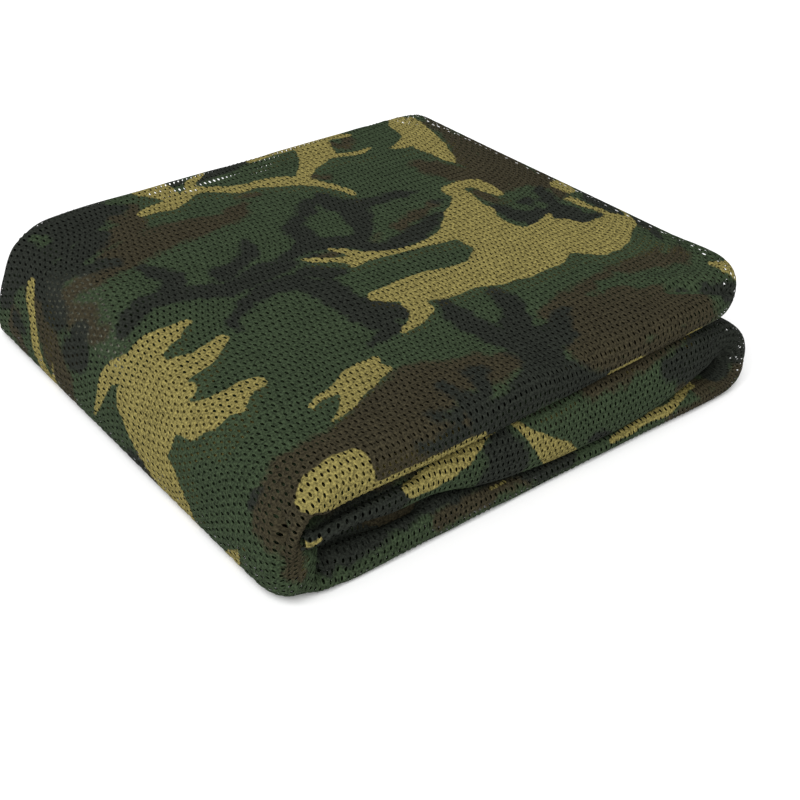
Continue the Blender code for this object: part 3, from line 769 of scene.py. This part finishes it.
def eased(along, across, give):
    """Where points of the flat net lie on the folded cloth, which crowds it here and there."""
    along = np.interp(along, *zip(*GIVE_ALONG))
    across = np.interp(across, *zip(*GIVE_ACROSS))
    moved = []
    for waves in (WAVES_ALONG, WAVES_ACROSS):
        shift = np.zeros(along.shape)
        for size, step_along, step_across, start in waves:
            turn = along / step_along + across / step_across
            shift += size * np.sin(2 * math.pi * turn + start)
        moved.append(shift)
    for pull in PULLS:
        far = ((along - pull.along) / pull.reach_along) ** 2
        far += ((across - pull.across) / pull.reach_across) ** 2
        moved[0] += pull.move_along * np.exp(-far)
        moved[1] += pull.move_across * np.exp(-far)
    return along + moved[0] * give, across + moved[1] * give


def tucked(along, across):
    """How far the creases press each point of the cloth in."""
    depth = np.zeros(along.shape)
    here = np.stack([along, across], axis=1)
    for tuck in TUCKS:
        start, end = np.array(tuck.start, float), np.array(tuck.end, float)
        run = end - start
        t = np.clip((here - start) @ run / (run @ run), 0, 1)
        off = here - start - t[:, None] * run
        depth += tuck.depth * np.exp(-(off ** 2).sum(axis=1) / tuck.width ** 2)
    return depth


def nudged(along, across):
    """How far single spots of the cloth are drawn out of their folds."""
    moved = np.zeros((len(along), 3))
    for nudge in NUDGES:
        far = ((along - nudge.along) / nudge.reach_along) ** 2
        far += ((across - nudge.across) / nudge.reach_across) ** 2
        moved += np.exp(-far)[:, None] * [nudge.x, nudge.y, nudge.z]
    return moved


def lay_in_folds(piece, fold, lift, is_net):
    """Prints the flat piece, then moves its points to where they lie in the folded cloth."""
    mesh = piece.data
    flat = np.empty(len(mesh.vertices) * 3)
    mesh.vertices.foreach_get("co", flat)
    flat = flat.reshape(-1, 3)
    along, across = flat[:, 0], flat[:, 1]
    if is_net:
        ends = np.minimum(along, fold.length - along)
        along, across = eased(along, across, np.clip(ends / END_REACH, 0, 1))
    corners = np.empty(len(mesh.loops), dtype=int)
    mesh.loops.foreach_get("vertex_index", corners)
    uv = mesh.uv_layers.new(name="cloth")
    uv.data.foreach_set("uv", np.stack([along, across], axis=1)[corners].ravel())
    distances = print_distances(along, across)
    # the layers inside carry pale patches of painted light, which show through the net's holes as
    # light specks
    see_through_light_strokes = [] if is_net else INNER_SEE_THROUGH_LIGHT_STROKES
    distances["pale"] = stroke_distance(see_through_light_strokes, along, across)
    for name, distance in distances.items():
        patch = mesh.attributes.new(name, "FLOAT", "POINT")
        patch.data.foreach_set("value", distance)
    sunk = np.zeros(len(flat))
    if "rim" in mesh.attributes:
        mesh.attributes["rim"].data.foreach_get("value", sunk)
    reach = SLOPE_REACH
    down_strip = fold.places(along + reach, across) - fold.places(along - reach, across)
    over_strip = fold.places(along, across + reach) - fold.places(along, across - reach)
    out = np.cross(over_strip, down_strip)
    out /= np.maximum(np.linalg.norm(out, axis=1), LEAST_LENGTH)[:, None]
    inward = DIMPLE * sunk + tucked(along, across) * (1 if is_net else PLAIN_DEEPER)
    folded = fold.places(along, across) + out * (lift - inward)[:, None]
    folded += nudged(along, across)
    mesh.vertices.foreach_set("co", (folded * MM).ravel())
    mesh.polygons.foreach_set("use_smooth", np.ones(len(mesh.polygons), dtype=bool))
    mesh.update()


# ---- finishes ----
def linear(colour):
    """The linear colour of a hex one."""
    parts = [int(colour[i : i + 2], 16) / 255 for i in (1, 3, 5)]
    return [c / 12.92 if c <= 0.04045 else ((c + 0.055) / 1.055) ** 2.4 for c in parts] + [1.0]


TAN, GREEN, BROWN, BLACK = "#786f40", "#303b29", "#332f22", "#222520"
SEE_THROUGH_LIGHT = "#a3a592"  # painted light: light seen through the net's holes, painted as a pale colour on the layer inside
# the patches, from the lowest up: attribute, colour, and in mm the softness of the edge and how
# far fine and broad noise move it
PATCHES = (
    ("brown", BROWN, 1.9, 1.0, 2.4),
    ("black", BLACK, 1.5, 0.8, 2.0),
    ("tan", TAN, 0.4, 0.35, 0.6),
    # painted light: the pale patches on the layers inside stand for light seen through the holes
    ("pale", SEE_THROUGH_LIGHT, 2.5, 1.0, 4.0),
)
FINE_WANDER, BROAD_WANDER = 1.5, 9.0  # mm: sizes of the noise that makes the patches ragged
WALE = 0.85  # mm from one wale of the knit to the next
COARSE_WALE = 1.3  # the speckle of its loops is drawn this coarse, or it would vanish
DYE_CLOUD = 16.0  # mm: size of the spots where the dye took a little more or less
PLAIN_TONE, SPECKLE, CLOUDINESS = 0.94, 0.62, 0.08  # the tone, and how far these two shift it
# painted highlight: the colour is made lighter at each hole's rim, fading fast away from it
RIM_HIGHLIGHT, RIM_FALL = 0.35, 3.0  # threads bunch at a hole's rim and catch more light, fading fast
LOOP_HEIGHT, LOOP_RELIEF = 0.3, 0.6  # mm, and how strongly the loops' relief shows
CLOTH_ROUGHNESS, CLOTH_SPECULAR = 0.8, 0.06  # matt: fine polyester with no sheen to speak of
NOISE_LOW, NOISE_HIGH = 0.25, 0.75  # noise keeps near its middle; these become -1 and 1
PAPER, PAPER_ROUGHNESS = "#f4f4f4", 0.9


def printed_mesh():
    """Warp-knitted polyester mesh, printed: matt, speckled by its loops, with ragged patches and a
    painted highlight round each hole.
    """
    material = bpy.data.materials.new("warp-knitted polyester mesh, printed")
    material.use_nodes = True
    tree = material.node_tree
    shader = tree.nodes["Principled BSDF"]
    cloth = add_node(tree, "ShaderNodeUVMap", uv_map="cloth").outputs[0]
    noise = {}  # by its size in mm, each from about -1 to 1
    for size in (FINE_WANDER, BROAD_WANDER, WALE, COARSE_WALE, DYE_CLOUD):
        spots = add_node(
            tree,
            "ShaderNodeTexNoise",
            [("Vector", cloth), ("Scale", 1 / size)],
            noise_dimensions="2D",
        )
        noise[size] = add_node(
            tree,
            "ShaderNodeMapRange",
            [(0, spots.outputs[0]), (1, NOISE_LOW), (2, NOISE_HIGH), (3, -1.0), (4, 1.0)],
            clamp=False,
        ).outputs[0]
    colour = linear(GREEN)
    for name, shade, edge, fine_wander, broad_wander in PATCHES:
        ragged = add_node(tree, "ShaderNodeAttribute", attribute_name=name).outputs["Fac"]
        for size, wander in ((FINE_WANDER, fine_wander), (BROAD_WANDER, broad_wander)):
            links = [(0, noise[size]), (1, wander), (2, ragged)]
            ragged = add_node(tree, "ShaderNodeMath", links, operation="MULTIPLY_ADD").outputs[0]
        inside = add_node(
            tree,
            "ShaderNodeMapRange",
            [("Value", ragged), ("From Min", edge), ("From Max", -edge)],
        ).outputs[0]
        mix = add_node(
            tree, "ShaderNodeMix", [(0, inside), (6, colour), (7, linear(shade))], data_type="RGBA"
        )
        colour = mix.outputs[2]
    # loops of the knit catch the light one by one, the dye takes a little unevenly, and a painted
    # highlight brightens each hole's rim
    rim = add_node(tree, "ShaderNodeAttribute", attribute_name="rim").outputs["Fac"]
    links = [(0, rim), (1, RIM_FALL)]
    rim_highlight = add_node(tree, "ShaderNodeMath", links, operation="POWER").outputs[0]
    tone = PLAIN_TONE
    for light, share in (
        (noise[COARSE_WALE], SPECKLE),
        (noise[DYE_CLOUD], CLOUDINESS),
        # the painted highlight round each hole
        (rim_highlight, RIM_HIGHLIGHT),
    ):
        links = [(0, light), (1, share), (2, tone)]
        tone = add_node(tree, "ShaderNodeMath", links, operation="MULTIPLY_ADD").outputs[0]
    shaded = add_node(tree, "ShaderNodeVectorMath", [(0, colour), ("Scale", tone)], operation="SCALE")
    tree.links.new(shaded.outputs[0], shader.inputs["Base Color"])
    bump = add_node(
        tree,
        "ShaderNodeBump",
        [("Height", noise[WALE]), ("Strength", LOOP_RELIEF), ("Distance", LOOP_HEIGHT * MM)],
    )
    tree.links.new(bump.outputs[0], shader.inputs["Normal"])
    shader.inputs["Roughness"].default_value = CLOTH_ROUGHNESS
    shader.inputs["Specular IOR Level"].default_value = CLOTH_SPECULAR
    return material


def plain_floor():
    """Seamless white paper: bright, matt and without a mark."""
    material = bpy.data.materials.new("white background paper")
    material.use_nodes = True
    shader = material.node_tree.nodes["Principled BSDF"]
    shader.inputs["Base Color"].default_value = linear(PAPER)
    shader.inputs["Roughness"].default_value = PAPER_ROUGHNESS
    return material


# ---- the scene ----
FLOOR_HALF = 6.0  # metres
WORLD_LIGHT, KEY_LIGHT = 0.62, 2.9  # strengths of the even sky and of the large soft light
KEY_ANGLE = 55.0  # degrees of sky that the large soft light fills
KEY_FROM = (-0.7, -0.6, 1.25)
CAMERA_PLACE = (-0.36469, -0.50095, 0.382)  # metres
CAMERA_TURN = (56.3957, -0.2966, -37.5815)  # degrees
CAMERA_LENS, CAMERA_SENSOR = 58.41, 36.0


def floor_and_light():
    """A plain floor, an even sky and one large soft light high on the near left."""
    half = FLOOR_HALF
    corners = [(-half, -half, 0), (half, -half, 0), (half, half, 0), (-half, half, 0)]
    mesh = bpy.data.meshes.new("floor")
    mesh.from_pydata(corners, [], [(0, 1, 2, 3)])
    mesh.materials.append(plain_floor())
    floor = bpy.data.objects.new("floor", mesh)
    bpy.context.collection.objects.link(floor)
    world = bpy.data.worlds.new("studio")
    bpy.context.scene.world = world
    world.use_nodes = True
    sky = world.node_tree.nodes["Background"].inputs
    sky["Color"].default_value = (1, 1, 1, 1)
    sky["Strength"].default_value = WORLD_LIGHT
    lamp = bpy.data.lights.new("soft key", "SUN")
    lamp.energy = KEY_LIGHT
    lamp.angle = math.radians(KEY_ANGLE)
    light = bpy.data.objects.new("soft key", lamp)
    light.rotation_euler = (-Vector(KEY_FROM)).to_track_quat("-Z", "Y").to_euler()
    bpy.context.collection.objects.link(light)


def camera():
    """The eye: near, to the left and above, looking down across the packet."""
    lens = bpy.data.cameras.new("camera")
    lens.lens = CAMERA_LENS
    lens.sensor_width = CAMERA_SENSOR
    eye = bpy.data.objects.new("camera", lens)
    eye.location = CAMERA_PLACE
    eye.rotation_euler = Euler([math.radians(a) for a in CAMERA_TURN])
    bpy.context.collection.objects.link(eye)
    bpy.context.scene.camera = eye


def declare(piece):
    """Hangs each piece, a folded sheet of the net, on the root body and hides the solid it takes the
    place of.
    """
    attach(piece, "root")
    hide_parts(NODE)


def dressed_net():
    """The whole cloth: the net outside, in panels, and the two plain layers inside it."""
    fold = Fold()
    cloth = printed_mesh()
    tree = net_tree()
    cell = net_cell()
    panels = [
        ("outer_net_%d" % (i + 1), PANEL_ENDS[i], PANEL_ENDS[i + 1], FIRST_ROW, LAST_ROW)
        for i in range(len(PANEL_ENDS) - 1)
    ]
    panels.append(("low_layer_end", 0, END_HOLES, END_FIRST_ROW, FIRST_ROW))
    for name, first_hole, last_hole, first_row, last_row in panels:
        piece = flat_net(name, tree, cell, cloth, first_hole, last_hole, first_row, last_row)
        lay_in_folds(piece, fold, SKIN, True)
        declare(piece)
    bpy.data.objects.remove(cell)
    length = fold.length
    low_along = np.arange(END_HOLES * HOLE_PITCH, length, PLAIN_ALONG)
    mid_along = np.arange(0.0, length, PLAIN_ALONG)
    for name, along, start, edge, lift in (
        ("low_layer", low_along, PLAIN_LOW, fold.low_edge, LOW_LIFT),
        ("middle_layer", mid_along, PLAIN_MID, fold.mid_edge, MID_LIFT),
    ):
        # the sheet's first edge is the lower of the two, so that its faces look out as the net's do
        free = np.interp(along, fold.along, edge)
        join = np.interp(along, *zip(*start))
        low, high = (free, join) if name == "low_layer" else (join, free)
        rows = int(np.abs(free - join).max() / PLAIN_ACROSS)
        piece = flat_sheet(name, cloth, along, low, high, rows)
        lay_in_folds(piece, fold, lift, False)
        declare(piece)


bpy.context.scene.view_settings.view_transform = "Standard"
camera()
dressed_net()
floor_and_light()
